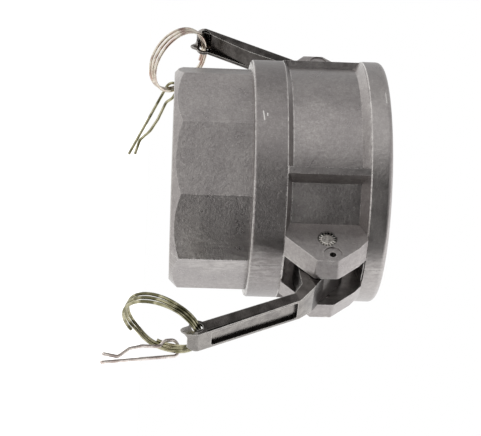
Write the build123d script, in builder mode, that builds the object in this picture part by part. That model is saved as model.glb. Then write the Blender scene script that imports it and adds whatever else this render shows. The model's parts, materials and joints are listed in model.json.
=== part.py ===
from build123d import *
from math import cos, radians, sin, sqrt
import os

os.makedirs("parts", exist_ok=True)

# Bores. The socket takes a grooved adapter, the thread a male pipe end
socket_radius = 46.1
socket_entry_chamfer = 1.2
thread_step = 2.16
thread_radius = socket_radius - thread_step
thread_entry_chamfer = 1.2
flow_step = 5.94
flow_radius = thread_radius - flow_step
thread_runout = 2.5
gasket_groove = 1.1
gasket_seat_radius = socket_radius + gasket_groove

# Gasket
gasket_thickness = 6.35
gasket_clearance = 0.1
gasket_bore_step = 0.5
gasket_edge = 0.4
gasket_radius = gasket_seat_radius - gasket_clearance
gasket_bore_radius = flow_radius + gasket_bore_step

# Outside radii of the body
wrench_sides = 10
thread_wall = 5.46
wrench_end_radius = thread_radius + thread_wall
wrench_bevel = 4.1
wrench_corner_radius = wrench_end_radius + wrench_bevel
barrel_wall = 10.9
barrel_radius = socket_radius + barrel_wall
collar_step = 0.4
collar_radius = barrel_radius - collar_step
mouth_ring_step = 0.5
mouth_ring_radius = barrel_radius + mouth_ring_step
step_run = 0.5
collar_rounding = 1.2
mouth_rounding = 2.6

# Cams on their pins; a cam's nose reaches through its window into the socket
nose_radius = 14.0
back_radius = 8.2
pin_radius = 4.0
pin_clearance = 0.06
pin_offset = 10.1
pin_distance = socket_radius + pin_offset

# Lengths along the bore axis, from the thread end (z = 0) to the mouth
wrench_length = 36.0
thread_stop = 6.0
thread_depth = wrench_length - thread_stop
shoulder_rise = 4.0
shoulder_height = wrench_length + shoulder_rise
gasket_seat_top = shoulder_height + gasket_thickness + gasket_clearance
collar_length = 15.1
collar_end = wrench_length + collar_length
window_low_land = 4.4
window_low = collar_end + window_low_land
nose_gap_low = 0.4
pin_height = window_low + nose_gap_low + nose_radius
nose_gap_high = 1.1
window_high = pin_height + nose_radius + nose_gap_high
window_high_land = 3.1
mouth_ring_start = window_high + window_high_land
mouth_ring_length = 9.9
total_length = mouth_ring_start + mouth_ring_length

# Recessed panels and pockets around the barrel
side_panel_depth = 3.5
side_panel_radius = barrel_radius - side_panel_depth
side_panel_half_angle = 39.2
side_panel_flare = 1.0
pocket_depth = 5.8
pocket_radius = barrel_radius - pocket_depth
pocket_floor_angle = 43.2
pocket_rim_angle = 47.4
recess_slope_low = 2.5
recess_slope_high = 3.4

# Ears, two at each window
ear_gap = 17.6
ear_thickness = 10.4
ear_draft = 8.0
ear_tip_height = 14.8
ear_reach = pin_distance + ear_tip_height
ear_tip_low = pin_height - 5.7
ear_tip_high = pin_height + 4.9
ear_rounding_low = 2.0
ear_rounding_high = 3.0
ear_root_low = collar_radius + 1.0
ear_root_high = mouth_ring_radius + 1.5
ear_knee_height = 4.5
ear_knee_run = 3.4
pin_recess = 0.4
pin_edge = 0.5
clip_hole_offset = 9.1
clip_hole_distance = pin_distance + clip_hole_offset
clip_hole_rise = 2.0
clip_hole_height = pin_height + clip_hole_rise
clip_hole_radius = 1.5
spotface_radius = 4.2
spotface_depth = 0.6
ear_face = ear_gap / 2 + ear_thickness

# Cam arms, in the arm's own directions: u runs down the handle, v outward
arm_lean_a = 24.6
arm_lean_b = 28.1
arm_side_gap = 0.4
arm_thickness = ear_gap - 2 * arm_side_gap
arm_bore_radius = pin_radius + pin_clearance
neck_start_u = 12.4
handle_start_u = 21.6
handle_length = 55.0
tip_u = handle_start_u + handle_length
handle_width = 12.6
handle_tip_width = 10.9
face_v = 18.4
neck_fall = 2.9
neck_v = face_v - neck_fall
inner_v_near = face_v - 4.9
inner_v_tip = face_v - 6.6
tip_slant = 1.6
tip_round_long = 6.0
tip_round_deep = 6.0
tip_round_bulge = 1.0
tip_far_rounding = 4.5
tip_near_rounding = 1.5
face_panel_start_u = handle_start_u + 0.9
face_panel_end_u = tip_u - 12.2
face_panel_margin = 1.2
face_panel_depth = 1.6
face_panel_rounding = 1.2
scoop_length = 36.6
scoop_start_u = tip_u - scoop_length
scoop_cover = 2.8
scoop_floor_v = face_v - scoop_cover
blade_thickness = 1.4
ring_hole_inset = 7.2
ring_hole_u = tip_u - ring_hole_inset
ring_hole_v = scoop_floor_v - 1.2
ring_hole_radius = 2.6

# Pull rings and safety clips
ring_mean_radius = 17.4
ring_wire_radius = 0.75
ring_wire_gap = -0.02
ring_pitch = 2 * ring_wire_radius + ring_wire_gap
clip_wire_radius = 0.75
clip_eye_radius = 3.6
clip_length = 41.0
clip_wave = 2.0

# Cuts run this far past the faces that they open
overrun = 2.0
beyond = 1.5 * barrel_radius


def polar(radius, angle):
    """A point in the plane across the bore, at an angle from the direction of arm a."""
    return (radius * cos(radians(angle)), radius * sin(radians(angle)))


# Body: stepped outside turned about the bore axis, with a ten-sided end
with BuildPart() as coupler_body:
    with BuildSketch(Plane.XY):
        RegularPolygon(wrench_corner_radius, wrench_sides)
    extrude(amount=wrench_length)
    # Turned bevel on the ends of the ten corners
    with BuildSketch(Plane.XZ):
        with BuildLine():
            Polyline(
                (0, 0),
                (wrench_end_radius, 0),
                (wrench_corner_radius + overrun, wrench_bevel + overrun),
                (wrench_corner_radius + overrun, wrench_length),
                (0, wrench_length),
                close=True,
            )
        make_face()
    revolve(axis=Axis.Z, mode=Mode.INTERSECT)
    # Collar, barrel and mouth ring
    with BuildSketch(Plane.XZ) as turned_outline:
        with BuildLine():
            Polyline(
                (0, wrench_length),
                (collar_radius, wrench_length),
                (collar_radius, collar_end),
                (barrel_radius, collar_end + step_run),
                (barrel_radius, mouth_ring_start),
                (mouth_ring_radius, mouth_ring_start + step_run),
                (mouth_ring_radius, total_length),
                (0, total_length),
                close=True,
            )
        make_face()
        collar_corner = turned_outline.vertices().group_by(Axis.Y)[0].sort_by(Axis.X)[-1]
        fillet(collar_corner, radius=collar_rounding)
        mouth_corner = turned_outline.vertices().group_by(Axis.Y)[-1].sort_by(Axis.X)[-1]
        fillet(mouth_corner, radius=mouth_rounding)
    revolve(axis=Axis.Z)

    # Recesses: a turned groove with sloping ends, kept only inside each panel or pocket outline
    recesses = []
    for side in (90, -90):
        outline = [
            polar(socket_radius, side - side_panel_half_angle),
            polar(side_panel_radius, side - side_panel_half_angle),
            polar(beyond, side - side_panel_half_angle - side_panel_flare),
            polar(2 * beyond, side),
            polar(beyond, side + side_panel_half_angle + side_panel_flare),
            polar(side_panel_radius, side + side_panel_half_angle),
            polar(socket_radius, side + side_panel_half_angle),
        ]
        recesses.append((side_panel_radius, outline))
    wall_foot = Vector(*polar(pocket_radius, pocket_floor_angle))
    wall_step = Vector(*polar(barrel_radius, pocket_rim_angle)) - wall_foot
    wall_outside = wall_foot + wall_step * 2.5
    wall_inside = wall_foot - wall_step * 0.8
    for end in (1, -1):
        for sense in (1, -1):
            outline = [
                (end * wall_inside.X, sense * ear_face),
                (end * beyond, sense * ear_face),
                (end * beyond, sense * beyond),
                (end * wall_outside.X, sense * wall_outside.Y),
                (end * wall_inside.X, sense * wall_inside.Y),
            ]
            recesses.append((pocket_radius, outline))
    for floor_radius, outline in recesses:
        with BuildPart(mode=Mode.SUBTRACT):
            with BuildSketch(Plane.XZ):
                with BuildLine():
                    Polyline(
                        (floor_radius, collar_end + recess_slope_low),
                        (floor_radius, mouth_ring_start - recess_slope_high),
                        (mouth_ring_radius, mouth_ring_start + 0.4 * step_run),
                        (beyond, mouth_ring_start + 0.4 * step_run),
                        (beyond, collar_end + 0.2 * step_run),
                        (collar_radius, collar_end + 0.2 * step_run),
                        close=True,
                    )
                make_face()
            revolve(axis=Axis.Z)
            with BuildSketch(Plane.XY):
                with BuildLine():
                    Polyline(*outline, close=True)
                make_face()
            extrude(amount=total_length, mode=Mode.INTERSECT)

    # Ears: drafted outwards, standing between the collar and the mouth ring
    with BuildPart(mode=Mode.PRIVATE) as ear:
        low_slope = (ear_reach - ear_root_low) / (ear_tip_low - collar_end)
        knee = (ear_root_high + ear_knee_height - step_run, mouth_ring_start - ear_knee_run)
        knee_slope = (knee[0] - ear_root_high) / ear_knee_run
        with BuildSketch(Plane.XZ.offset(-ear_gap / 2)) as ear_shape:
            with BuildLine():
                Polyline(
                    (socket_radius - overrun, collar_end - overrun),
                    (ear_root_low - overrun * low_slope, collar_end - overrun),
                    (ear_reach, ear_tip_low),
                    (ear_reach, ear_tip_high),
                    knee,
                    (ear_root_high - overrun * knee_slope, mouth_ring_start + overrun),
                    (socket_radius - overrun, mouth_ring_start + overrun),
                    close=True,
                )
            make_face()
            tips = ear_shape.vertices().group_by(Axis.X)[-1].sort_by(Axis.Y)
            fillet(tips[0], radius=ear_rounding_low)
            tip = ear_shape.vertices().group_by(Axis.X)[-1].sort_by(Axis.Y)[-1]
            fillet(tip, radius=ear_rounding_high)
        extrude(amount=-ear_thickness, taper=ear_draft)
        split(bisect_by=Plane.XY.offset(collar_end), keep=Keep.TOP)
        split(bisect_by=Plane.XY.offset(mouth_ring_start), keep=Keep.BOTTOM)
        with BuildSketch(Plane.XZ):
            with Locations((pin_distance, pin_height)):
                Circle(pin_radius)
            with Locations((clip_hole_distance, clip_hole_height)):
                Circle(clip_hole_radius)
        extrude(amount=-ear_face - overrun, mode=Mode.SUBTRACT)
        with BuildSketch(Plane.XZ.offset(-ear_face)):
            with Locations((clip_hole_distance, clip_hole_height)):
                Circle(spotface_radius)
        extrude(amount=spotface_depth, mode=Mode.SUBTRACT)
        with BuildSketch(Plane.XZ.offset(-ear_face)):
            with Locations((pin_distance, pin_height)):
                Circle(pin_radius + pin_recess)
        extrude(amount=pin_recess, taper=45, mode=Mode.SUBTRACT)
    ear_across = mirror(ear.part, about=Plane.XZ, mode=Mode.PRIVATE)
    for placed in (ear.part, ear_across):
        add(placed)
        add(mirror(placed, about=Plane.YZ, mode=Mode.PRIVATE))
    # The pin holes go on through the barrel wall under the ears
    with BuildSketch(Plane.XZ):
        with Locations((pin_distance, pin_height), (-pin_distance, pin_height)):
            Circle(pin_radius)
    extrude(amount=ear_face + overrun, both=True, mode=Mode.SUBTRACT)

    # Bores, from the thread end to the mouth
    with BuildSketch(Plane.XZ):
        with BuildLine():
            Polyline(
                (0, -overrun),
                (thread_radius + thread_entry_chamfer + overrun, -overrun),
                (thread_radius, thread_entry_chamfer),
                (thread_radius, thread_depth),
                (flow_radius, thread_depth + thread_runout),
                (flow_radius, shoulder_height),
                (gasket_seat_radius, shoulder_height),
                (gasket_seat_radius, gasket_seat_top),
                (socket_radius, gasket_seat_top),
                (socket_radius, total_length - socket_entry_chamfer),
                (socket_radius + socket_entry_chamfer + overrun, total_length + overrun),
                (0, total_length + overrun),
                close=True,
            )
        make_face()
    revolve(axis=Axis.Z, mode=Mode.SUBTRACT)

    # Cam windows between the ears, wider outside than at the bore
    with BuildSketch(Plane.XZ):
        for end in (1, -1):
            with BuildLine():
                Polyline(
                    (0, window_low),
                    (0, window_high),
                    (end * socket_radius, window_high),
                    (end * (mouth_ring_radius + step_run), mouth_ring_start),
                    (end * beyond, mouth_ring_start),
                    (end * beyond, collar_end + step_run),
                    (end * barrel_radius, collar_end + step_run),
                    (end * socket_radius, window_low),
                    close=True,
                )
            make_face()
    extrude(amount=ear_gap / 2, both=True, mode=Mode.SUBTRACT)
coupler_body.part.label = "coupler_body"
export_step(coupler_body.part, "parts/coupler_body.step")

# Gasket: flat rubber ring standing on the shoulder
with BuildPart() as gasket:
    with BuildSketch(Plane.XY.offset(shoulder_height)):
        Circle(gasket_radius)
        Circle(gasket_bore_radius, mode=Mode.SUBTRACT)
    extrude(amount=gasket_thickness)
    chamfer(gasket.edges().filter_by(GeomType.CIRCLE), length=gasket_edge)
gasket.part.label = "gasket"
export_step(gasket.part, "parts/gasket.step")

# Hinge pins, pressed into the ears
pin_length = 2 * (ear_face - pin_recess)
with BuildPart() as hinge_pin_a:
    with BuildSketch(Plane.XZ.offset(-pin_length / 2)):
        with Locations((pin_distance, pin_height)):
            Circle(pin_radius)
    extrude(amount=pin_length)
    chamfer(hinge_pin_a.edges().filter_by(GeomType.CIRCLE), length=pin_edge)
hinge_pin_a.part.label = "hinge_pin_a"
export_step(hinge_pin_a.part, "parts/hinge_pin_a.step")

with BuildPart() as hinge_pin_b:
    mirror(hinge_pin_a.part, about=Plane.YZ)
hinge_pin_b.part.label = "hinge_pin_b"
export_step(hinge_pin_b.part, "parts/hinge_pin_b.step")

# Cam arm a: cam and neck around the pin, handle leaning away from the body
lean = radians(arm_lean_a)
pin_a = Vector(pin_distance, 0, pin_height)
along = Vector(sin(lean), 0, -cos(lean))
outward = Vector(cos(lean), 0, sin(lean))
side_plane = Plane(origin=pin_a, x_dir=along, z_dir=(0, -1, 0))
plan_plane = Plane(origin=pin_a, x_dir=along, z_dir=outward)
face_plane = plan_plane.offset(face_v)


def cam_point(radius, angle):
    """A point of the cam outline; 180 faces the bore and 90 the mouth when the arm hangs closed."""
    turn = radians(angle + 90 - arm_lean_a)
    return (radius * cos(turn), radius * sin(turn))


with BuildPart() as cam_arm_a:
    with BuildSketch(side_plane):
        with BuildLine():
            inner_tip = (tip_u, inner_v_tip)
            inner_near = (handle_start_u + 0.5, inner_v_near)
            throat = (handle_start_u - 4.6, inner_v_near - neck_fall)
            neck_low = (neck_start_u + 0.9, neck_v)
            neck_high = (handle_start_u - 0.4, face_v)
            cam_low = cam_point(nose_radius + 0.6, -58)
            cam_high = cam_point(nose_radius - 1.0, -5)
            face_end = (tip_u - tip_round_long, face_v)
            end_corner = (tip_u, face_v - tip_round_deep)
            half_turn = sqrt(0.5) * tip_round_bulge
            middle = (tip_u - tip_round_long / 2 + half_turn, face_v - tip_round_deep / 2 + half_turn)
            Polyline(inner_tip, inner_near, throat, cam_low)
            Spline(
                cam_low,
                cam_point(nose_radius - 0.4, -78),
                cam_point(nose_radius - 0.5, -105),
                cam_point(nose_radius - 0.3, -130),
                cam_point(nose_radius, -160),
                cam_point(nose_radius - 0.3, 180),
                cam_point(nose_radius - 1.4, 160),
                cam_point(nose_radius - 3.1, 138),
                cam_point(back_radius + 1.4, 112),
                cam_point(back_radius + 1.0, 85),
                cam_point(back_radius + 0.1, 60),
                cam_point(back_radius, 40),
                cam_point(back_radius + 1.2, 20),
                cam_high,
            )
            Polyline(cam_high, neck_low, neck_high, face_end)
            ThreePointArc(face_end, middle, end_corner)
            Line(end_corner, inner_tip)
        make_face()
    extrude(amount=arm_thickness / 2, both=True)
    # Seen from outside: the neck narrows to the handle, and the handle to its rounded tip
    with BuildSketch(plan_plane) as plan:
        neck_slope = (handle_start_u - neck_start_u) / (arm_thickness - handle_width) * 2
        shoulder = (neck_start_u - overrun * neck_slope, arm_thickness / 2 + overrun)
        with BuildLine():
            Polyline(
                (-nose_radius - overrun, -shoulder[1]),
                (shoulder[0], -shoulder[1]),
                (handle_start_u, -handle_width / 2),
                (tip_u, -handle_tip_width / 2),
                (tip_u - tip_slant, handle_tip_width / 2),
                (handle_start_u, handle_width / 2),
                (shoulder[0], shoulder[1]),
                (-nose_radius - overrun, shoulder[1]),
                close=True,
            )
        make_face()
        far_corner = plan.vertices().sort_by(Axis.X)[-2]
        fillet(far_corner, radius=tip_far_rounding)
        near_corner = plan.vertices().sort_by(Axis.X)[-1]
        fillet(near_corner, radius=tip_near_rounding)
    extrude(amount=face_v + nose_radius, both=True, mode=Mode.INTERSECT)
    # Recessed panel in the outer face
    with BuildSketch(face_plane) as face_panel:
        near_half = handle_width / 2 - face_panel_margin
        far_half = handle_tip_width / 2 - face_panel_margin
        with BuildLine():
            Polyline(
                (face_panel_start_u, -near_half),
                (face_panel_end_u, -far_half),
                (face_panel_end_u, far_half),
                (face_panel_start_u, near_half),
                close=True,
            )
        make_face()
        fillet(face_panel.vertices(), radius=face_panel_rounding)
    extrude(amount=-face_panel_depth, mode=Mode.SUBTRACT)
    # Hollow of the inner side near the tip, open on one side, leaving a thin blade on the other
    with BuildSketch(side_plane.offset(handle_tip_width / 2 - blade_thickness)):
        scoop_open_v = inner_v_tip - overrun
        with BuildLine():
            scoop_start = (scoop_start_u, inner_v_near - 0.7)
            scoop_middle = (scoop_start_u + 0.36 * scoop_length, inner_v_near + 0.2)
            scoop_rise = (scoop_start_u + 0.66 * scoop_length, scoop_floor_v - 0.6)
            scoop_floor = (scoop_start_u + 0.74 * scoop_length, scoop_floor_v)
            ThreePointArc(scoop_start, scoop_middle, scoop_rise)
            Polyline(
                scoop_rise,
                scoop_floor,
                (tip_u + overrun, scoop_floor_v),
                (tip_u + overrun, scoop_open_v),
                (scoop_start_u, scoop_open_v),
                scoop_start,
            )
        make_face()
    extrude(amount=-arm_thickness, mode=Mode.SUBTRACT)
    # Bore for the pin and hole for the ring
    with BuildSketch(side_plane):
        Circle(arm_bore_radius)
        with Locations((ring_hole_u, ring_hole_v)):
            Circle(ring_hole_radius)
    extrude(amount=arm_thickness, both=True, mode=Mode.SUBTRACT)
cam_arm_a.part.label = "cam_arm_a"
export_step(cam_arm_a.part, "parts/cam_arm_a.step")

# Cam arm b: the same casting on the other side, swung a little further open
pin_b = Pos(-pin_distance, 0, pin_height)
swing_b = pin_b * Rot(0, arm_lean_b - arm_lean_a, 0) * pin_b.inverse() * Rot(0, 0, 180)
with BuildPart() as cam_arm_b:
    add(swing_b * cam_arm_a.part)
cam_arm_b.part.label = "cam_arm_b"
export_step(cam_arm_b.part, "parts/cam_arm_b.step")


def ring_plane(side, arm_lean, hang, tilt, centre_y):
    """Plane of a ring whose wire passes through the hole in the blade of its arm."""
    a = radians(arm_lean)
    u = Vector(side * sin(a), 0, -cos(a))
    v = Vector(side * cos(a), 0, sin(a))
    hole = Vector(side * pin_distance, 0, pin_height) + u * ring_hole_u + v * ring_hole_v
    w = Vector(cos(radians(hang)), 0, sin(radians(hang)))
    across = Vector(0, cos(radians(tilt)), 0) + w.cross(Vector(0, 1, 0)) * sin(radians(tilt))
    blade_y = -side * (handle_tip_width - blade_thickness) / 2
    s = (blade_y - centre_y) / (ring_mean_radius * cos(radians(tilt)))
    c = sqrt(1 - s * s)
    centre = hole + w * (c * ring_mean_radius) - Vector(across.X, 0, across.Z) * (s * ring_mean_radius)
    return Plane(origin=Vector(centre.X, centre_y, centre.Z), x_dir=w, z_dir=w.cross(across))


ring_plane_a = ring_plane(1, arm_lean_a, -112, -6, 0.5)
ring_plane_b = ring_plane(-1, arm_lean_b, -50, 4, 4.0)

# Pull rings: three turns of round wire lying side by side
with BuildPart() as pull_ring_a:
    with BuildSketch(Plane(origin=ring_plane_a.origin, x_dir=ring_plane_a.x_dir, z_dir=-ring_plane_a.y_dir)):
        with Locations((ring_mean_radius, -ring_pitch), (ring_mean_radius, 0), (ring_mean_radius, ring_pitch)):
            Circle(ring_wire_radius)
    revolve(axis=Axis(ring_plane_a.origin, ring_plane_a.z_dir))
pull_ring_a.part.label = "pull_ring_a"
export_step(pull_ring_a.part, "parts/pull_ring_a.step")

with BuildPart() as pull_ring_b:
    add(ring_plane_b.location * ring_plane_a.location.inverse() * pull_ring_a.part)
pull_ring_b.part.label = "pull_ring_b"
export_step(pull_ring_b.part, "parts/pull_ring_b.step")


def clip_plane(ring, angle, leg, side):
    """Plane of a clip whose eye goes round the ring wire and whose straight leg points along leg."""
    eye = ring.from_local_coords(
        Vector(ring_mean_radius * cos(radians(angle)), ring_mean_radius * sin(radians(angle)), 0)
    )
    leg = Vector(*leg).normalized()
    return Plane(origin=eye, x_dir=leg, z_dir=leg.cross(ring.z_dir).normalized() * side)


clip_plane_a = clip_plane(ring_plane_a, 105, (0.47, -0.46, -0.75), -1)
clip_plane_b = clip_plane(ring_plane_b, 72, (0.62, 0.63, -0.46), 1)

# Safety clips: one straight leg, an eye round the ring, and a waved leg
with BuildPart() as safety_clip_a:
    with BuildLine(clip_plane_a):
        eye = clip_eye_radius
        eye_edge = eye + 0.02
        FilletPolyline(
            (clip_length, -eye),
            (-eye_edge, -eye),
            (-eye_edge, eye_edge),
            (eye + 0.3, eye_edge),
            (2 * eye, 0.6 * clip_wave),
            (clip_length * 0.42, clip_wave),
            (clip_length * 0.60, 0.65 * clip_wave),
            (clip_length * 0.77, -0.9 * clip_wave),
            (clip_length * 0.96, 0.0),
            radius=clip_eye_radius,
        )
    with BuildSketch(Plane(origin=clip_plane_a.from_local_coords(Vector(clip_length, -clip_eye_radius, 0)),
                           x_dir=clip_plane_a.z_dir, z_dir=-clip_plane_a.x_dir)):
        Circle(clip_wire_radius)
    sweep()
safety_clip_a.part.label = "safety_clip_a"
export_step(safety_clip_a.part, "parts/safety_clip_a.step")

with BuildPart() as safety_clip_b:
    add(clip_plane_b.location * clip_plane_a.location.inverse() * safety_clip_a.part)
safety_clip_b.part.label = "safety_clip_b"
export_step(safety_clip_b.part, "parts/safety_clip_b.step")
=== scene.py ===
import json
import math

import bmesh
import bpy
from mathutils import Matrix, Vector


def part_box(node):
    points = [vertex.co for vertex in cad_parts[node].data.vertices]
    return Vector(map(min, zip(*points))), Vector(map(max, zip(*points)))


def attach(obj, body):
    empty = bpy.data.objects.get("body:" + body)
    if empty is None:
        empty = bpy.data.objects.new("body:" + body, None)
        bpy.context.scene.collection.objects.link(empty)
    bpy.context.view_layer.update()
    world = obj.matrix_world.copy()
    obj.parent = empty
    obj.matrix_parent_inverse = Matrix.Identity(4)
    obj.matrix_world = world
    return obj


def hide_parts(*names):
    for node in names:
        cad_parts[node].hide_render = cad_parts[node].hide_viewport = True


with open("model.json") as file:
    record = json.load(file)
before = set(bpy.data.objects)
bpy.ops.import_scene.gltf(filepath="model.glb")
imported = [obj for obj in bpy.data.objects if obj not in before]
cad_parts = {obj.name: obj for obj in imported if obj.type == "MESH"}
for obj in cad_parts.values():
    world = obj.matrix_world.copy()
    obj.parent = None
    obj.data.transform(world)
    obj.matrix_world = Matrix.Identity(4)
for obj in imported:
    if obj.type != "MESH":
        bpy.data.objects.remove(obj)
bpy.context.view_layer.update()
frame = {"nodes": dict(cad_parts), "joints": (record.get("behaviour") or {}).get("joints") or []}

nodes = frame["nodes"]
joints = {joint["name"]: joint for joint in frame["joints"]}
scene = bpy.context.scene


# Coupler body: one aluminium gravity casting, shot blasted all over, then turned at its
# ends and bores. The adapter goes into its mouth, and the pipe screws into its other end.
def linear(hex_colour):
    """An sRGB hex colour as linear red, green, blue and alpha."""
    channels = [int(hex_colour[i:i + 2], 16) / 255 for i in (1, 3, 5)]
    return [c / 12.92 if c <= 0.04045 else ((c + 0.055) / 1.055) ** 2.4 for c in channels] + [1.0]


def add_node(tree, kind, links=(), **settings):
    """Add a node; settings name its properties or inputs, links give input name and source socket."""
    made = tree.nodes.new(kind)
    for name, value in settings.items():
        if hasattr(made, name):
            setattr(made, name, value)
        else:
            made.inputs[name.replace("_", " ")].default_value = value
    for name, source in links:
        tree.links.new(source, made.inputs[name])
    return made


def new_material(name, metallic=1.0):
    """A new material; returns it with its node tree, its shader and its object coordinates."""
    material = bpy.data.materials.new(name)
    material.use_nodes = True
    tree = material.node_tree
    shader = tree.nodes["Principled BSDF"]
    shader.inputs["Metallic"].default_value = metallic
    place = add_node(tree, "ShaderNodeTexCoord").outputs["Object"]
    return material, tree, shader, place


def remap(tree, value, low, high, at_low, at_high):
    """A value taken from one range to another, held at its ends."""
    ranged = add_node(tree, "ShaderNodeMapRange", [("Value", value)])
    for name, number in (("From Min", low), ("From Max", high), ("To Min", at_low), ("To Max", at_high)):
        ranged.inputs[name].default_value = number
    return ranged.outputs["Result"]


def mix_colours(tree, factor, first, second):
    """Mix of two colours, each a hex value or a socket."""
    mixed = add_node(tree, "ShaderNodeMix", [("Factor", factor)], data_type="RGBA")
    for name, colour in (("A", first), ("B", second)):
        if isinstance(colour, str):
            mixed.inputs[name].default_value = linear(colour)
        else:
            tree.links.new(colour, mixed.inputs[name])
    return mixed.outputs["Result"]


def calculate(tree, operation, *values):
    """Arithmetic on values that are numbers or sockets."""
    sum_node = add_node(tree, "ShaderNodeMath", operation=operation)
    for slot, value in enumerate(values):
        if isinstance(value, (int, float)):
            sum_node.inputs[slot].default_value = value
        else:
            tree.links.new(value, sum_node.inputs[slot])
    return sum_node.outputs["Value"]


def cloudiness(tree, place, size, detail=3.0, roughness=0.55, stretch=None):
    """Noise whose blotches measure size metres, drawn out along the axes by stretch."""
    if stretch:
        place = add_node(tree, "ShaderNodeMapping", [("Vector", place)], Scale=stretch).outputs["Vector"]
    noise = add_node(tree, "ShaderNodeTexNoise", [("Vector", place)], Scale=1 / size, Detail=detail,
                     Roughness=roughness)
    return noise.outputs["Fac"]


def open_air(tree, reach):
    """How open a place is, from nought in a corner to one, as far as reach metres off."""
    sky = add_node(tree, "ShaderNodeAmbientOcclusion", samples=6, only_local=True, Distance=reach)
    return sky.outputs["AO"]


def worn_and_highlit_edges(tree, width, break_up, floor=0.35):
    """Outer edges made bright, partly by wear from handling and partly as painted highlight: one along edges,
    broken up by a noise.
    """
    rounded = add_node(tree, "ShaderNodeBevel", samples=6, Radius=width)
    surface = add_node(tree, "ShaderNodeNewGeometry").outputs["Normal"]
    turn = add_node(tree, "ShaderNodeVectorMath", [(0, rounded.outputs["Normal"]), (1, surface)],
                    operation="DOT_PRODUCT").outputs["Value"]
    edge = remap(tree, turn, 0.97, 0.8, 0.0, 1.0)
    outer = remap(tree, open_air(tree, width), 0.72, 0.92, 0.0, 1.0)
    broken = calculate(tree, "MULTIPLY", edge, remap(tree, break_up, 0.35, 0.6, floor, 1.0))
    return calculate(tree, "MULTIPLY", broken, outer)


def near_segment(tree, place, first, last, width):
    """One on a straight scratch from first to last, in metres, and nought a width away."""
    run = Vector(last) - Vector(first)
    offset = add_node(tree, "ShaderNodeVectorMath", [(0, place)], operation="SUBTRACT")
    offset.inputs[1].default_value = first
    share = add_node(tree, "ShaderNodeVectorMath", [(0, offset.outputs["Vector"])], operation="DOT_PRODUCT")
    share.inputs[1].default_value = run / run.length_squared
    held = add_node(tree, "ShaderNodeClamp", [("Value", share.outputs["Value"])])
    along = add_node(tree, "ShaderNodeVectorMath", [("Scale", held.outputs["Result"])], operation="SCALE")
    along.inputs[0].default_value = run
    apart = add_node(tree, "ShaderNodeVectorMath",
                     [(0, offset.outputs["Vector"]), (1, along.outputs["Vector"])], operation="DISTANCE")
    return remap(tree, apart.outputs["Value"], 0.3 * width, width, 1.0, 0.0)


def across_axis(tree, axes):
    """Distance from the Z axis, from separated coordinates."""
    flat = add_node(tree, "ShaderNodeCombineXYZ", [("X", axes["X"]), ("Y", axes["Y"])])
    return add_node(tree, "ShaderNodeVectorMath", [(0, flat.outputs["Vector"])],
                    operation="LENGTH").outputs["Value"]


def distance(tree, first, second):
    """Distance that two offsets at right angles make together."""
    squares = [calculate(tree, "MULTIPLY", offset, offset) for offset in (first, second)]
    return calculate(tree, "SQRT", calculate(tree, "ADD", *squares))


def near_circle(tree, place, radius, height, width):
    """One on a circle about the bore, at a radius and height, and nought a width away."""
    axes = add_node(tree, "ShaderNodeSeparateXYZ", [("Vector", place)]).outputs
    outward = calculate(tree, "SUBTRACT", across_axis(tree, axes), radius)
    upward = calculate(tree, "SUBTRACT", axes["Z"], height)
    return remap(tree, distance(tree, outward, upward), 0.4 * width, width, 1.0, 0.0)


cast_grain = 0.0006
cast_dimple = 0.0017
cast_blotch = 0.011
edge_mark_width = 0.0008
corner_reach = 0.0022
hollow_reach = 0.009
seam_half_width = 0.00035
fettled_width = 0.016
collar_heights = (0.0362, 0.0507)
mouth_height = 0.0880
tint_fade = 0.0006
# Inner and outer radius of the painted shade round each pin.
pin_shade_radii = (0.0042, 0.0047)
ear_faces_from = 0.018
scratch_width = 0.0004
# Painted highlight lines round the body's edges, given as radius and height.
highlight_circle_width = 0.0005
highlight_circles = (
    (0.0562, 0.0364), (0.0567, 0.0511), (0.0574, 0.0884), (0.0535, 0.0537), (0.0512, 0.0537),
)
scratches = (
    ((0.0129, -0.0551, 0.0399), (0.0172, -0.0539, 0.0404)),
    ((0.0140, -0.0549, 0.0417), (0.0152, -0.0546, 0.0418)),
    ((0.0005, -0.0575, 0.0955), (0.0068, -0.0571, 0.0957)),
)

# Shot blasted aluminium: soft grey sheen with a fine grain, edges bright from wear and painted
# highlight, painted shade in its hollows and corners, and the seam that the two mould halves leave.
cast_aluminium, tree, shader, place = new_material("Shot blasted cast aluminium", metallic=0.92)
grain = cloudiness(tree, place, cast_grain, 2.0)
dimple = cloudiness(tree, place, cast_dimple, 3.0)
blotch = cloudiness(tree, place, cast_blotch, 4.0)
colour = mix_colours(tree, remap(tree, blotch, 0.35, 0.65, 0.0, 1.0), "#a29d9c", "#b1acaa")
colour = mix_colours(tree, remap(tree, dimple, 0.3, 0.7, 0.45, 0.0), colour, "#7d7776")
colour = mix_colours(tree, remap(tree, grain, 0.35, 0.6, 0.4, 0.0), colour, "#858080")
colour = mix_colours(tree, remap(tree, grain, 0.62, 0.74, 0.0, 0.35), colour, "#cfcbc8")
# Painted shade: darker in hollows and tight corners, by how open each place is.
colour = mix_colours(tree, remap(tree, open_air(tree, hollow_reach), 0.5, 0.95, 0.12, 0.0), colour, "#4c4747")
colour = mix_colours(tree, remap(tree, open_air(tree, corner_reach), 0.4, 0.7, 0.2, 0.0), colour, "#3a3636")
# The collar is duller than the rest, and the mouth ring a little brighter.
axes = add_node(tree, "ShaderNodeSeparateXYZ", [("Vector", place)]).outputs
height = axes["Z"]
above_collar_foot = remap(tree, height, collar_heights[0], collar_heights[0] + tint_fade, 0.0, 1.0)
below_collar_top = remap(tree, height, collar_heights[1], collar_heights[1] + tint_fade, 1.0, 0.0)
on_collar = calculate(tree, "MULTIPLY", above_collar_foot, below_collar_top)
colour = mix_colours(tree, calculate(tree, "MULTIPLY", on_collar, 0.28), colour, "#4c4747")
on_mouth = remap(tree, height, mouth_height, mouth_height + tint_fade, 0.0, 0.15)
colour = mix_colours(tree, on_mouth, colour, "#d6d2cf")
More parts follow.
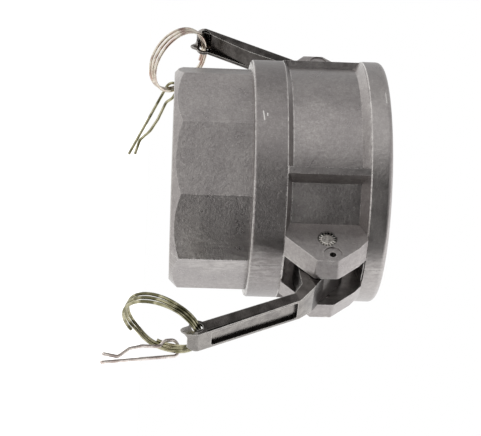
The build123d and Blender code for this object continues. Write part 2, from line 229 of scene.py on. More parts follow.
# Painted shade of the gap round each pin: a dark ring on the ear faces.
pin_centre = joints["arm_a_swing"]["pos_m"]
beside = calculate(tree, "SUBTRACT", calculate(tree, "ABSOLUTE", axes["X"]), pin_centre[0])
above = calculate(tree, "SUBTRACT", height, pin_centre[2])
on_ear_face = calculate(tree, "GREATER_THAN", calculate(tree, "ABSOLUTE", axes["Y"]), ear_faces_from)
gap_shade = remap(tree, distance(tree, beside, above), pin_shade_radii[0], pin_shade_radii[1], 0.85, 0.0)
gap_shade = calculate(tree, "MULTIPLY", gap_shade, on_ear_face)
colour = mix_colours(tree, gap_shade, colour, "#1d1a19")
# Edges bright from wear and painted highlight, a few scratches, and painted highlight lines along the turned
# edges.
wear_and_highlight = worn_and_highlit_edges(tree, edge_mark_width, dimple, 0.2)
for first, last in scratches:
    wear_and_highlight = calculate(tree, "MAXIMUM", wear_and_highlight, near_segment(tree, place, first, last, scratch_width))
# Each circle is a painted highlight line, broken up by the dimples.
for edge_radius, edge_height in highlight_circles:
    bright = near_circle(tree, place, edge_radius, edge_height, highlight_circle_width)
    broken = calculate(tree, "MULTIPLY", bright, remap(tree, dimple, 0.35, 0.6, 0.1, 0.45))
    wear_and_highlight = calculate(tree, "MAXIMUM", wear_and_highlight, broken)
# The parting seam, and along it a strip that was ground flush with a belt.
wander = calculate(tree, "MULTIPLY", calculate(tree, "SUBTRACT", dimple, 0.5), 0.0009)
from_seam = calculate(tree, "ABSOLUTE", calculate(tree, "ADD", axes["Y"], wander))
seam = remap(tree, from_seam, 0.4 * seam_half_width, seam_half_width, 1.0, 0.0)
wear_and_highlight = calculate(tree, "MAXIMUM", wear_and_highlight, calculate(tree, "MULTIPLY", seam, 0.45))
# Lightened by wear, and by painted highlight along the edges and turned edges.
colour = mix_colours(tree, wear_and_highlight, colour, "#dedbd8")
streaks = cloudiness(tree, place, 0.0016, 3.0, stretch=(1.0, 1.0, 0.3))
from_middle = calculate(tree, "ABSOLUTE", axes["Y"])
fettled = remap(tree, from_middle, 0.5 * fettled_width, fettled_width, 1.0, 0.0)
fettled = calculate(tree, "MULTIPLY", fettled, remap(tree, blotch, 0.42, 0.6, 0.35, 1.0))
streaked = mix_colours(tree, remap(tree, streaks, 0.38, 0.62, 0.0, 1.0), "#7b7674", "#d3cfcc")
colour = mix_colours(tree, calculate(tree, "MULTIPLY", fettled, 0.3), colour, streaked)
tree.links.new(colour, shader.inputs["Base Color"])
polish = calculate(tree, "MULTIPLY", wear_and_highlight, -0.1)
roughness = calculate(tree, "ADD", remap(tree, blotch, 0.3, 0.7, 0.27, 0.33), polish)
tree.links.new(roughness, shader.inputs["Roughness"])
relief = calculate(tree, "ADD", grain, calculate(tree, "MULTIPLY", dimple, 1.6))
relief = calculate(tree, "ADD", relief, calculate(tree, "MULTIPLY", seam, 2.0))
skin = add_node(tree, "ShaderNodeBump", [("Height", relief)], Strength=0.5, Distance=0.0001)
tree.links.new(skin.outputs["Normal"], shader.inputs["Normal"])

# Turned aluminium: brighter, with the tool's fine rings, drawn coarser than the real 0.1 mm.
tool_pitch = 0.0004
turned_aluminium, tree, shader, place = new_material("Turned aluminium")
axes = add_node(tree, "ShaderNodeSeparateXYZ", [("Vector", place)]).outputs
tool_place = calculate(tree, "ADD", across_axis(tree, axes), axes["Z"])
rings = calculate(tree, "SINE", calculate(tree, "MULTIPLY", tool_place, 2 * math.pi / tool_pitch))
dulling = cloudiness(tree, place, 0.006)
colour = mix_colours(tree, remap(tree, rings, -1.0, 1.0, 0.0, 1.0), "#b5b1af", "#c6c3c1")
colour = mix_colours(tree, remap(tree, dulling, 0.4, 0.7, 0.0, 0.5), colour, "#9f9b99")
# Painted shade in the corners.
colour = mix_colours(tree, remap(tree, open_air(tree, corner_reach), 0.5, 0.9, 0.6, 0.0), colour, "#3a3636")
# Edges bright, partly from wear and partly painted highlight.
colour = mix_colours(tree, worn_and_highlit_edges(tree, edge_mark_width, dulling), colour, "#e6e4e1")
tree.links.new(colour, shader.inputs["Base Color"])
tree.links.new(remap(tree, dulling, 0.3, 0.7, 0.26, 0.4), shader.inputs["Roughness"])
skin = add_node(tree, "ShaderNodeBump", [("Height", rings)], Strength=0.35, Distance=0.00003)
tree.links.new(skin.outputs["Normal"], shader.inputs["Normal"])


def rounded_copy(node, name, width, angle=28, segments=2, added=()):
    """A piece with the node's shape, joined to any added ones, whose edges are rounded by a width."""
    mesh = nodes[node].data.copy()
    mesh.name = name
    mesh.materials.clear()
    piece = bpy.data.objects.new(name, mesh)
    scene.collection.objects.link(piece)
    shape = bmesh.new()
    shape.from_mesh(mesh)
    bmesh.ops.remove_doubles(shape, verts=shape.verts, dist=2e-6)
    bmesh.ops.dissolve_limit(shape, angle_limit=math.radians(0.6), verts=shape.verts, edges=shape.edges)
    shape.to_mesh(mesh)
    shape.free()
    for solid in added:
        union = piece.modifiers.new("Union", "BOOLEAN")
        union.operation = "UNION"
        union.object = solid
        seen = piece.evaluated_get(bpy.context.evaluated_depsgraph_get())
        piece.data = bpy.data.meshes.new_from_object(seen)
        piece.modifiers.remove(union)
        bpy.data.objects.remove(solid)
        mesh = piece.data
        mesh.name = name
    mesh.shade_smooth()
    mesh.set_sharp_from_angle(angle=math.radians(angle))
    rounding = piece.modifiers.new("Edge rounding", "BEVEL")
    rounding.width = width
    rounding.segments = segments
    rounding.limit_method = "ANGLE"
    rounding.angle_limit = math.radians(angle)
    faces = piece.modifiers.new("Flat faces stay flat", "WEIGHTED_NORMAL")
    faces.keep_sharp = True
    faces.weight = 60
    return piece


cast_edge = 0.0006
body = rounded_copy("coupler_body", "coupler_body_casting", cast_edge)
body.data.materials.append(cast_aluminium)
body.data.materials.append(turned_aluminium)
low_end, high_end = (corner.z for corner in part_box("coupler_body"))
bore_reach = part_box("gasket")[1].x + 0.0006
for face in body.data.polygons:
    place, normal = face.center, face.normal
    radius = math.hypot(place.x, place.y)
    inward = place.x * normal.x + place.y * normal.y < 0
    in_bore = radius < bore_reach and (inward or abs(normal.z) > 0.5)
    end_face = min(place.z - low_end, high_end - place.z) < 0.0001
    if in_bore or end_face:
        face.material_index = 1
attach(body, "body")
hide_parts("coupler_body")


# Pipe thread: 55 degree parallel thread of eleven turns to the inch, cut in the body's end.
# Each ridge is the aluminium left between two turns, so it is built as one long ridge.
def new_shape_tree(name, sizes):
    """A geometry tree with named number inputs; returns the tree, its group input and its output."""
    tree = bpy.data.node_groups.new(name, "GeometryNodeTree")
    for size_name in sizes:
        tree.interface.new_socket(size_name, in_out="INPUT", socket_type="NodeSocketFloat")
    tree.interface.new_socket("Geometry", in_out="OUTPUT", socket_type="NodeSocketGeometry")
    return tree, tree.nodes.new("NodeGroupInput").outputs, tree.nodes.new("NodeGroupOutput")


def finish_tree(tree, result, out, material, smooth=True):
    """End a geometry tree: real copies, smooth shading and the material."""
    real = add_node(tree, "GeometryNodeRealizeInstances", [("Geometry", result)])
    shaded = add_node(tree, "GeometryNodeSetShadeSmooth", [("Geometry", real.outputs["Geometry"])],
                      Shade_Smooth=smooth)
    painted = add_node(tree, "GeometryNodeSetMaterial", [("Geometry", shaded.outputs["Geometry"])],
                       Material=material)
    tree.links.new(painted.outputs["Geometry"], out.inputs["Geometry"])


def grow(name, tree, sizes, place=None):
    """A plain mesh piece made by a geometry tree with its sizes set, put in its place."""
    seed = bpy.data.objects.new(name + "_seed", bpy.data.meshes.new(name + "_seed"))
    scene.collection.objects.link(seed)
    modifier = seed.modifiers.new("Shape", "NODES")
    modifier.node_group = tree
    for item in tree.interface.items_tree:
        if item.in_out == "INPUT":
            modifier[item.identifier] = float(sizes[item.name])
    bpy.context.view_layer.update()
    seen = seed.evaluated_get(bpy.context.evaluated_depsgraph_get())
    mesh = bpy.data.meshes.new_from_object(seen)
    mesh.name = name
    bpy.data.objects.remove(seed)
    if place:
        mesh.transform(place)
    piece = bpy.data.objects.new(name, mesh)
    scene.collection.objects.link(piece)
    return piece


def turning_path(tree, count, angle, radius, height):
    """An open curve of count points at an angle, radius and height worked out for each point."""
    line = add_node(tree, "GeometryNodeMeshLine", [("Count", count)])
    spot = add_node(tree, "ShaderNodeCombineXYZ", [
        ("X", calculate(tree, "MULTIPLY", radius, calculate(tree, "COSINE", angle))),
        ("Y", calculate(tree, "MULTIPLY", radius, calculate(tree, "SINE", angle))),
        ("Z", height),
    ])
    moved = add_node(tree, "GeometryNodeSetPosition",
                     [("Geometry", line.outputs["Mesh"]), ("Position", spot.outputs["Vector"])])
    return add_node(tree, "GeometryNodeMeshToCurve", [("Mesh", moved.outputs["Geometry"])]).outputs["Curve"]


thread_pitch = 0.0254 / 11
thread_depth = 0.64 * thread_pitch
thread_radius = 0.04394
thread_start = 0.0026
thread_end = 0.0296
thread_steps = 72

tree, sizes, out = new_shape_tree("Thread ridge", ("Radius", "Pitch", "Depth", "Start", "Length", "Steps"))
index = add_node(tree, "GeometryNodeInputIndex").outputs["Index"]
turns = calculate(tree, "DIVIDE", index, sizes["Steps"])
whole_turns = calculate(tree, "DIVIDE", sizes["Length"], sizes["Pitch"])
count = calculate(tree, "MULTIPLY", whole_turns, sizes["Steps"])
rise = calculate(tree, "ADD", sizes["Start"], calculate(tree, "MULTIPLY", turns, sizes["Pitch"]))
path = turning_path(tree, count, calculate(tree, "MULTIPLY", turns, 2 * math.pi), sizes["Radius"], rise)
upright = add_node(tree, "GeometryNodeSetCurveNormal", [("Curve", path)])
upright.mode = "Z_UP"
section = add_node(tree, "GeometryNodeCurvePrimitiveQuadrilateral", [
    ("Height", sizes["Depth"]),
    ("Bottom Width", calculate(tree, "MULTIPLY", sizes["Pitch"], 0.98)),
    ("Top Width", calculate(tree, "MULTIPLY", sizes["Pitch"], 0.24)),
], mode="TRAPEZOID", Offset=0.0)
laid = add_node(tree, "GeometryNodeTransform", [("Geometry", section.outputs["Curve"])],
                Rotation=(0.0, 0.0, math.radians(90)))
ridge = add_node(tree, "GeometryNodeCurveToMesh", [
    ("Curve", upright.outputs["Curve"]), ("Profile Curve", laid.outputs["Geometry"]),
], Fill_Caps=True)
finish_tree(tree, ridge.outputs["Mesh"], out, turned_aluminium, smooth=False)
thread = grow("pipe_thread_ridge", tree, {
    "Radius": thread_radius - 0.45 * thread_depth, "Pitch": thread_pitch, "Depth": thread_depth,
    "Start": thread_start, "Length": thread_end - thread_start, "Steps": thread_steps,
})
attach(thread, "body")


# Gasket: a flat ring of black nitrile rubber, moulded and pressed into the groove under the
# socket. Moulded rubber is a dull soft black, with a pale bloom in patches.
nitrile, tree, shader, place = new_material("Black nitrile rubber", metallic=0.0)
bloom = cloudiness(tree, place, 0.0045)
tree.links.new(mix_colours(tree, bloom, "#121212", "#242424"), shader.inputs["Base Color"])
tree.links.new(remap(tree, bloom, 0.3, 0.7, 0.5, 0.7), shader.inputs["Roughness"])
skin = add_node(tree, "ShaderNodeBump", [("Height", cloudiness(tree, place, 0.0007))], Strength=0.4,
                Distance=0.00008)
tree.links.new(skin.outputs["Normal"], shader.inputs["Normal"])
nodes["gasket"].data.materials.clear()
nodes["gasket"].data.materials.append(nitrile)


# Hinge pins: turned steel, pushed through the ears and held by the straight knurling that is
# rolled on their ends, so that each end shows a ring of teeth round a smooth middle.
# Cold drawn steel gives the pins a bright, slightly warm glint, with painted shade darkening the tooth roots.
pin_steel, tree, shader, place = new_material("Knurled steel pin")
scuff = cloudiness(tree, place, 0.0008)
colour = mix_colours(tree, remap(tree, scuff, 0.35, 0.65, 0.0, 1.0), "#a39e99", "#dedad4")
# Painted shade in the tooth roots.
colour = mix_colours(tree, remap(tree, open_air(tree, 0.0008), 0.45, 0.9, 1.0, 0.0), colour, "#2b2826")
tree.links.new(colour, shader.inputs["Base Color"])
tree.links.new(remap(tree, scuff, 0.3, 0.7, 0.22, 0.42), shader.inputs["Roughness"])
skin = add_node(tree, "ShaderNodeBump", [("Height", scuff)], Strength=0.5, Distance=0.00008)
tree.links.new(skin.outputs["Normal"], shader.inputs["Normal"])

# The teeth are cut inwards near both ends, and down into the end faces near their rims.
knurl_teeth = 16
knurl_depth = 0.0007
knurl_length = 0.0035
pin_steps = 6
tree, sizes, out = new_shape_tree("Knurled pin", (
    "Radius", "Length", "Teeth", "Knurl depth", "Knurl length", "Steps",
))
around = calculate(tree, "MULTIPLY", sizes["Teeth"], sizes["Steps"])
rod = add_node(tree, "GeometryNodeMeshCylinder", [
    ("Vertices", around), ("Side Segments", calculate(tree, "MULTIPLY", sizes["Steps"], 8.0)),
    ("Radius", sizes["Radius"]), ("Depth", sizes["Length"]),
], fill_type="TRIANGLE_FAN", Fill_Segments=10)
spot = add_node(tree, "ShaderNodeSeparateXYZ",
                [("Vector", add_node(tree, "GeometryNodeInputPosition").outputs["Position"])]).outputs
angle = calculate(tree, "ARCTAN2", spot["Y"], spot["X"])
flat_spot = add_node(tree, "ShaderNodeCombineXYZ", [("X", spot["X"]), ("Y", spot["Y"])])
reach = across_axis(tree, spot)
wave = calculate(tree, "COSINE", calculate(tree, "MULTIPLY", angle, sizes["Teeth"]))
tooth = calculate(tree, "SUBTRACT", 0.5, calculate(tree, "MULTIPLY", wave, 0.5))
half_length = calculate(tree, "MULTIPLY", sizes["Length"], 0.5)
from_end = calculate(tree, "SUBTRACT", half_length, calculate(tree, "ABSOLUTE", spot["Z"]))
near_end = add_node(tree, "ShaderNodeMapRange", [("Value", from_end), ("From Min", sizes["Knurl length"])])
near_end.inputs["From Max"].default_value = 0.0
smooth_middle = calculate(tree, "MULTIPLY", sizes["Radius"], 0.6)
near_rim = add_node(tree, "ShaderNodeMapRange", [
    ("Value", reach), ("From Min", smooth_middle), ("From Max", sizes["Radius"]),
])
cut = calculate(tree, "MULTIPLY", tooth, sizes["Knurl depth"])
cut = calculate(tree, "MULTIPLY", cut, near_rim.outputs["Result"])
ending = calculate(tree, "CEIL", calculate(tree, "SUBTRACT", near_end.outputs["Result"], 0.05))
inward = calculate(tree, "MULTIPLY", calculate(tree, "MULTIPLY", cut, ending), -1.0)
inward = calculate(tree, "DIVIDE", inward, calculate(tree, "MAXIMUM", reach, 0.0001))
sideways = add_node(tree, "ShaderNodeVectorMath", [(0, flat_spot.outputs["Vector"]), ("Scale", inward)],
                    operation="SCALE")
on_cap = calculate(tree, "GREATER_THAN", near_end.outputs["Result"], 0.999)
sink = calculate(tree, "MULTIPLY", calculate(tree, "MULTIPLY", cut, on_cap), -1.2)
downward = calculate(tree, "MULTIPLY", sink, calculate(tree, "SIGN", spot["Z"]))
lowered = add_node(tree, "ShaderNodeCombineXYZ", [("Z", downward)])
shift = add_node(tree, "ShaderNodeVectorMath", [
    (0, sideways.outputs["Vector"]), (1, lowered.outputs["Vector"]),
])
knurled = add_node(tree, "GeometryNodeSetPosition",
                   [("Geometry", rod.outputs["Mesh"]), ("Offset", shift.outputs["Vector"])])
finish_tree(tree, knurled.outputs["Geometry"], out, pin_steel, smooth=False)
for side in "ab":
    low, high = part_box(f"hinge_pin_{side}")
    pin = grow(f"knurled_pin_{side}", tree, {
        "Radius": (high.x - low.x) / 2, "Length": high.y - low.y, "Teeth": knurl_teeth,
        "Knurl depth": knurl_depth, "Knurl length": knurl_length, "Steps": pin_steps,
    }, Matrix.Translation((low + high) / 2) @ Matrix.Rotation(math.radians(90), 4, "X"))
    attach(pin, "body")
    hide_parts(f"hinge_pin_{side}")


# Cam levers: stainless steel investment castings, tumbled to a dark polish, that turn on the
# pins. Their round noses press the adapter into the gasket when the handles are folded in.
# Runs go down the handle from the pin, heights and drops out of the outer face, sides across.
lever_leans = {"a": 24.6, "b": 28.1}
lever_edge = 0.0006
cam_run = 0.012
handle_run = (0.024, 0.066)
face_height = 0.01835
blade_inside = 0.00400
blade_outside = 0.00562
# Height and width of the painted shade line along each lever's side.
shade_line_height = 0.01785
shade_line_width = 0.00055
eye_run = 0.0694
eye_drop = 0.0144
eye_hole_radius = 0.0026
eye_wall = 0.0014
tip_run = 0.0761
tip_root = 0.0655
tip_rounding = 0.0070
tip_slant = 0.0052
tip_far_side = -0.0050
plate_floor = 0.01565
nose_root = 0.0728
nose_floor = 0.0130
inset = 0.0001
arc_steps = 8


def lever_axes(side):
    """A lever's pivot, and its directions down the handle, out of its outer face and across."""
    lean = math.radians(lever_leans[side])
    sign = 1 if side == "a" else -1
    pivot = Vector(joints[f"arm_{side}_swing"]["pos_m"])
    down = Vector((sign * math.sin(lean), 0, -math.cos(lean)))
    out = Vector((sign * math.cos(lean), 0, math.sin(lean)))
    return pivot, down, out, Vector((0, -sign, 0))


def cast_steel(name, tones, corner, gloss, deep=False):
    """Cast stainless steel of two tones, with painted shade in its corners, and over whole hollows if deep.
    """
    material, tree, shader, place = new_material(name)
    wear = cloudiness(tree, place, 0.005, 4.0)
    pitting = cloudiness(tree, place, 0.0007, 2.0)
    colour = mix_colours(tree, remap(tree, wear, 0.35, 0.65, 0.0, 1.0), *tones)
    if not deep:
        colour = mix_colours(tree, remap(tree, pitting, 0.6, 0.7, 0.0, 0.5), colour, "#575350")
    # Painted shade in the corners, and over whole hollows when deep.
    colour = mix_colours(tree, remap(tree, open_air(tree, 0.0025), 0.35, 0.85, 0.5, 0.0), colour, corner)
    if deep:
        colour = mix_colours(tree, remap(tree, open_air(tree, 0.007), 0.3, 0.8, 0.6, 0.0), colour, corner)
    # Edges bright from wear and painted highlight.
    colour = mix_colours(tree, worn_and_highlit_edges(tree, 0.0006, pitting, 0.55), colour, "#d9d6d2")
    tree.links.new(remap(tree, wear, 0.3, 0.7, *gloss), shader.inputs["Roughness"])
    skin = add_node(tree, "ShaderNodeBump", [("Height", calculate(tree, "ADD", pitting, wear))],
                    Strength=0.35, Distance=0.00012)
    tree.links.new(skin.outputs["Normal"], shader.inputs["Normal"])
    return material, tree, shader, place, colour


# Outer faces, which hands and the tumbling barrel have polished to a mid grey sheen: the lit copy of the
# lever steel.
lit_steel, tree, shader, place, colour = cast_steel(
    "Tumbled stainless casting", ("#787472", "#96928e"), "#1c1a19", (0.2, 0.32))
tree.links.new(colour, shader.inputs["Base Color"])

# Sides, hollow and cam: a shaded copy of the same steel, painted nearly black for the shade and dark
# reflections they lie in, with bright edges and a painted shade line along the side just below the outer
# face.
shaded_steel, tree, shader, place, colour = cast_steel(
    "Lever steel, shaded copy", ("#3d3a38", "#575351"), "#141312", (0.16, 0.3), deep=True)
for side in "ab":
    pivot, down, out, across = lever_axes(side)
    # A painted shade line along the side, just below the outer face.
    edge = pivot + out * shade_line_height + across * blade_outside
    shade_line = near_segment(tree, place, edge + down * handle_run[0], edge + down * handle_run[1], shade_line_width)
    colour = mix_colours(tree, shade_line, colour, "#0d0c0c")
tree.links.new(colour, shader.inputs["Base Color"])


def added_solid(name, shape, place):
    """An object made of a finished shape in its place, for uniting with a lever."""
    bmesh.ops.recalc_face_normals(shape, faces=shape.faces)
    mesh = bpy.data.meshes.new(name)
    shape.to_mesh(mesh)
    shape.free()
    mesh.transform(place)
    solid = bpy.data.objects.new(name, mesh)
    scene.collection.objects.link(solid)
    return solid


def flat_ring(name, inner, outer, near, far, place):
    """A flat ring between two distances along its axis."""
    shape = bmesh.new()
    section = ((inner, near), (outer, near), (outer, far), (inner, far))
    corners = [shape.verts.new((x, 0.0, z)) for x, z in section]
    loop = [shape.edges.new((corners[i - 1], corners[i])) for i in range(4)]
    bmesh.ops.spin(shape, geom=corners + loop, cent=(0, 0, 0), axis=(0, 0, 1), angle=2 * math.pi, steps=56)
    bmesh.ops.remove_doubles(shape, verts=shape.verts, dist=1e-6)
    return added_solid(name, shape, place)


def hull(name, points, place):
    """The convex solid round some points."""
    shape = bmesh.new()
    for point in points:
        shape.verts.new(point)
    bmesh.ops.convex_hull(shape, input=shape.verts)
    return added_solid(name, shape, place)


def tip_outlines():
    """Corners of the plate that ends the outer face and of the nose below it, by run, height, width."""
    near_side = blade_outside - inset
    arc_start = tip_run - tip_rounding
    arc_foot = face_height - tip_rounding
    plate, nose = [], []
    for step in range(arc_steps + 1):
        turn = math.radians(90 * step / arc_steps)
        run = arc_start + tip_rounding * math.sin(turn)
        height = arc_foot + tip_rounding * math.cos(turn)
        slant = tip_slant * math.sin(turn)
        for solid, floor_height in ((plate, plate_floor), (nose, nose_floor)):
            solid.append((run, max(height, floor_height), near_side))
            solid.append((run - slant, max(height, floor_height), tip_far_side))
    nose = [corner for corner in nose if corner[0] > nose_root]
    for width in (near_side, tip_far_side):
        plate += [(tip_root, face_height, width), (tip_root, plate_floor, width)]
    top = arc_foot + math.sqrt(tip_rounding ** 2 - (nose_root - arc_start) ** 2)
    for width in (near_side, 0.0):
        nose += [(nose_root, nose_floor, width), (nose_root, top, width)]
    nose.append((tip_run, nose_floor, near_side))
    return plate, nose


for side in "ab":
    pivot, down, out, across = lever_axes(side)
    eye_place = Matrix.Translation(pivot + down * eye_run + out * eye_drop) @ Matrix(
        (down, across.cross(down), across)).transposed().to_4x4()
    lever_place = Matrix.Translation(pivot) @ Matrix((down, out, across)).transposed().to_4x4()
    eye = flat_ring(f"eye_{side}", eye_hole_radius, eye_hole_radius + eye_wall, blade_inside,
                    blade_outside, eye_place)
    tip = [hull(f"tip_{side}", outline, lever_place) for outline in tip_outlines()]
    lever = rounded_copy(f"cam_arm_{side}", f"cam_lever_{side}", lever_edge, angle=25, added=[eye] + tip)
    lever.data.materials.clear()
    lever.data.materials.append(lit_steel)
    lever.data.materials.append(shaded_steel)
    # The cam, and the sides and hollow up to the eye, take the shaded copy: painted shade.
    for face in lever.data.polygons:
        run = (face.center - pivot).dot(down)
        if run < cam_run or face.normal.dot(out) < 0.2 and run < eye_run + 0.001:
            face.material_index = 1
    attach(lever, f"arm_{side}")
    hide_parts(f"cam_arm_{side}")


# Pull rings: split rings of round spring wire wound in three turns, as on a key ring, and
# threaded through the levers' tips. Their yellow zinc plating shimmers from gold to pink.
def plated_wire(name, tones, roughness):
    """Bright plating on wire whose hue drifts through its tones along the wire."""
    material, tree, shader, place = new_material(name)
    drift = cloudiness(tree, place, 0.007, 1.0)
    colour = mix_colours(tree, remap(tree, drift, 0.35, 0.5, 0.0, 1.0), tones[0], tones[1])
    colour = mix_colours(tree, remap(tree, drift, 0.5, 0.65, 0.0, 1.0), colour, tones[2])
    draw_lines_and_reflection = cloudiness(tree, place, 0.0006, 2.0)
    # Dark streaks, partly drawing lines in the wire and partly a painted dark reflection along it.
    colour = mix_colours(tree, remap(tree, draw_lines_and_reflection, 0.55, 0.75, 0.0, 0.5), colour, "#3b3428")
    tree.links.new(colour, shader.inputs["Base Color"])
    tree.links.new(remap(tree, drift, 0.3, 0.7, roughness, roughness + 0.1), shader.inputs["Roughness"])
    skin = add_node(tree, "ShaderNodeBump", [("Height", draw_lines_and_reflection)], Strength=0.25, Distance=0.00004)
    tree.links.new(skin.outputs["Normal"], shader.inputs["Normal"])
    return material


# Passivated zinc over bright wire: olive gold on one ring and a pinkish silver on the other.
olive_plating = plated_wire("Yellow zinc plating, olive", ("#7c795c", "#b5b094", "#625f47"), 0.12)
pink_plating = plated_wire("Yellow zinc plating, pink", ("#bfa79a", "#d9d2c4", "#a8938a"), 0.12)

ring_radius = 0.01740
ring_wire_radius = 0.00075
close_pitch = 0.00150
wide_pitch = 0.0024
ring_turns = 3
cross_over = 0.11
ring_steps = 132
wire_sides = 14
split_angles = {"a": math.radians(-27), "b": math.radians(80)}
widest_angle = math.radians(-130)


def build_ring_tree(name, material):
    """Three turns of wire side by side, which step over to each other near the split."""
    tree, sizes, out = new_shape_tree(name, (
        "Radius", "Wire radius", "Close pitch", "Wide pitch", "Turns", "Cross-over", "Steps",
        "Split angle", "Widest angle", "Wire sides",
    ))
    index = add_node(tree, "GeometryNodeInputIndex").outputs["Index"]
    turns = calculate(tree, "DIVIDE", index, sizes["Steps"])
    angle = calculate(tree, "ADD", calculate(tree, "MULTIPLY", turns, 2 * math.pi), sizes["Split angle"])
    whole = calculate(tree, "FLOOR", turns)
    stepping_from = calculate(tree, "SUBTRACT", 1.0, sizes["Cross-over"])
    stepping = add_node(tree, "ShaderNodeMapRange", [
        ("Value", calculate(tree, "FRACT", turns)), ("From Min", stepping_from),
    ], interpolation_type="SMOOTHSTEP").outputs["Result"]
    row = calculate(tree, "SUBTRACT", calculate(tree, "ADD", whole, stepping), 1.0)
    from_widest = calculate(tree, "SUBTRACT", angle, sizes["Widest angle"])
    fanned = calculate(tree, "MAXIMUM", calculate(tree, "COSINE", from_widest), 0.0)
    spread = calculate(tree, "SUBTRACT", sizes["Wide pitch"], sizes["Close pitch"])
    extra = calculate(tree, "MULTIPLY", fanned, spread)
    height = calculate(tree, "MULTIPLY", row, calculate(tree, "ADD", sizes["Close pitch"], extra))
    wound = calculate(tree, "SUBTRACT", sizes["Turns"], sizes["Cross-over"])
    count = calculate(tree, "MULTIPLY", wound, sizes["Steps"])
    path = turning_path(tree, count, angle, sizes["Radius"], height)
    section = add_node(tree, "GeometryNodeCurvePrimitiveCircle",
                       [("Resolution", sizes["Wire sides"]), ("Radius", sizes["Wire radius"])])
    wire = add_node(tree, "GeometryNodeCurveToMesh",
                    [("Curve", path), ("Profile Curve", section.outputs["Curve"])], Fill_Caps=True)
    finish_tree(tree, wire.outputs["Mesh"], out, material)
    return tree


def ring_place(side):
    """Matrix of a ring's own axes: Z its axis, X towards the clip's eye, Y on the lever's side."""
    coil = nodes[f"pull_ring_{side}"].data
    area = sum(face.area for face in coil.polygons)
    centre = sum((face.center * face.area for face in coil.polygons), Vector()) / area
    to_clip = Vector(joints[f"clip_{side}_swing"]["pos_m"]) - centre
    to_lever = Vector(joints[f"ring_{side}_swing"]["pos_m"]) - centre
    along_wire = Vector(joints[f"clip_{side}_swing"]["axis"])
    axis = to_clip.cross(along_wire).normalized()
    if to_clip.cross(to_lever).dot(axis) < 0:
        axis = -axis
    forward = to_clip.normalized()
    return Matrix.Translation(centre) @ Matrix((forward, axis.cross(forward), axis)).transposed().to_4x4()


for side, plating in (("a", olive_plating), ("b", pink_plating)):
    ring = grow(f"coiled_ring_{side}", build_ring_tree(f"Coiled ring {side}", plating), {
        "Radius": ring_radius, "Wire radius": ring_wire_radius, "Close pitch": close_pitch,
        "Wide pitch": wide_pitch, "Turns": ring_turns, "Cross-over": cross_over, "Steps": ring_steps,
        "Split angle": split_angles[side], "Widest angle": widest_angle, "Wire sides": wire_sides,
    }, ring_place(side))
    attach(ring, f"ring_{side}")
    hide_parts(f"pull_ring_{side}")


# Safety clips: bent spring wire that hangs on the rings and goes through the small holes in
# the ears to lock a closed lever. One is plated pale and the other yellow.
pale_plating = plated_wire("Zinc plating, pale", ("#cdbfb8", "#ded6d0", "#b8aaa4"), 0.3)
for side, plating in (("a", pale_plating), ("b", olive_plating)):
    nodes[f"safety_clip_{side}"].data.materials.clear()
    nodes[f"safety_clip_{side}"].data.materials.append(plating)


# Studio: a pale floor below the held part and a white room, darker in front and a little
# dimmer overhead, as round a table under soft boxes. The camera sees plain white.
floor_drop = 0.12
floor_size = 12.0
floor_glow = 0.72
mirrored_glow = 0.42

floor_mesh = bpy.data.meshes.new("floor")
half = floor_size / 2
floor_mesh.from_pydata([(-half, -half, -floor_drop), (half, -half, -floor_drop),
                        (half, half, -floor_drop), (-half, half, -floor_drop)], [], [(0, 1, 2, 3)])
floor = bpy.data.objects.new("floor", floor_mesh)
scene.collection.objects.link(floor)
# A matt, nearly white sweep that shows the camera plain white and keeps the part's soft shadow.
pale_floor, tree, shader, place = new_material("Pale floor", metallic=0.0)
shader.inputs["Base Color"].default_value = linear("#f2f2f0")
shader.inputs["Roughness"].default_value = 0.9
shader.inputs["Emission Color"].default_value = (1, 1, 1, 1)
rays = add_node(tree, "ShaderNodeLightPath").outputs
glow = calculate(tree, "ADD", calculate(tree, "MULTIPLY", rays["Is Camera Ray"], floor_glow),
                 calculate(tree, "MULTIPLY", rays["Is Glossy Ray"], mirrored_glow))
tree.links.new(glow, shader.inputs["Emission Strength"])
floor_mesh.materials.append(pale_floor)

image_right = Vector((0.01415, -0.05923, 0.99814))
image_up = Vector((-0.72109, -0.69215, -0.03085))
image_back = Vector((0.69270, -0.71932, -0.05251))

world = bpy.data.worlds.new("Studio")
scene.world = world
world.use_nodes = True
tree = world.node_tree
tree.nodes.clear()
direction = add_node(tree, "ShaderNodeTexCoord").outputs["Generated"]


def room_ramp(axis, low, high, at_low, at_high):
    """A smooth change of brightness along one axis of the room."""
    along_axis = add_node(tree, "ShaderNodeVectorMath", [(0, direction)], operation="DOT_PRODUCT")
    along_axis.inputs[1].default_value = axis
    ramp = add_node(tree, "ShaderNodeMapRange", [("Value", along_axis.outputs["Value"])],
                    interpolation_type="SMOOTHSTEP")
    for name, value in (("From Min", low), ("From Max", high), ("To Min", at_low), ("To Max", at_high)):
        ramp.inputs[name].default_value = value
    return ramp.outputs["Result"]


def blend_values(factor, first, second):
    """Mix of two brightness values."""
    mixed = add_node(tree, "ShaderNodeMix", [("Factor", factor)], data_type="FLOAT")
    for name, value in (("A", first), ("B", second)):
        if isinstance(value, float):
            mixed.inputs[name].default_value = value
        else:
            tree.links.new(value, mixed.inputs[name])
    return mixed.outputs["Result"]


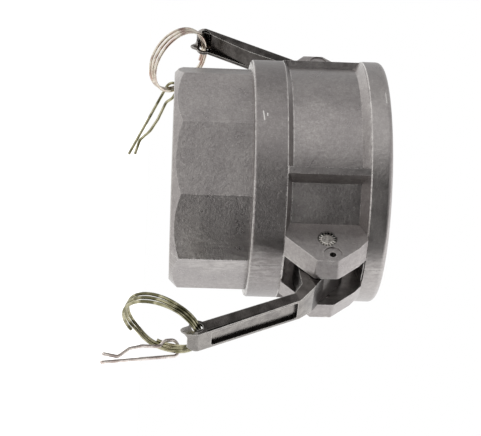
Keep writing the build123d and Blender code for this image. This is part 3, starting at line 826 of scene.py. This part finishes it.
walls = room_ramp(image_up, -0.3, 0.5, 1.05, 0.5)
left_wall = room_ramp(image_right, -0.8, 0.6, 0.52, 1.3)
front = room_ramp(image_up, 0.06, 0.6, 0.02, 0.88)
right_side = room_ramp(image_right, 0.42, 0.72, 0.0, 0.55)
left_side = room_ramp(image_right, -0.72, -0.42, 0.4, 0.0)
front = calculate(tree, "MAXIMUM", front, calculate(tree, "MAXIMUM", right_side, left_side))
towards_camera = room_ramp(image_back, 0.08, 0.32, 0.0, 1.0)
room = blend_values(towards_camera, calculate(tree, "MULTIPLY", walls, left_wall), front)
rays = add_node(tree, "ShaderNodeLightPath").outputs
level = blend_values(rays["Is Camera Ray"], room, 1.0)
backdrop = add_node(tree, "ShaderNodeBackground", [("Strength", level)])
backdrop.inputs["Color"].default_value = (1, 1, 1, 1)
add_node(tree, "ShaderNodeOutputWorld", [("Surface", backdrop.outputs["Background"])])

lit_centre = Vector((0, 0, 0.045))


def soft_lamp(name, direction, away, size, power):
    """A square area lamp that faces the part from a direction."""
    lamp = bpy.data.lights.new(name, "AREA")
    lamp.shape = "SQUARE"
    lamp.size = size
    lamp.energy = power
    holder = bpy.data.objects.new(name, lamp)
    scene.collection.objects.link(holder)
    direction = direction.normalized()
    holder.location = lit_centre + direction * away
    holder.rotation_euler = direction.to_track_quat("Z", "Y").to_euler()


soft_lamp("key_lamp", -image_up * 0.85 - image_back * 0.45 + image_right * 0.1, 0.7, 0.5, 0.1)
soft_lamp("fill_lamp", image_up * 1.0 + image_back * 0.3 - image_right * 0.4, 0.8, 0.6, 0.15)

camera_place = (0.49808, -0.48956, -0.00308)
focal_pixels = 1456.3
image_width = 481
camera_data = bpy.data.cameras.new("camera")
camera = bpy.data.objects.new("camera", camera_data)
scene.collection.objects.link(camera)
camera_data.sensor_fit = "HORIZONTAL"
camera_data.sensor_width = 36.0
camera_data.lens = focal_pixels / image_width * camera_data.sensor_width
camera.matrix_world = Matrix.Translation(camera_place) @ Matrix(
    (image_right, image_up, image_back)).transposed().to_4x4()
scene.camera = camera
scene.view_settings.view_transform = "Standard"
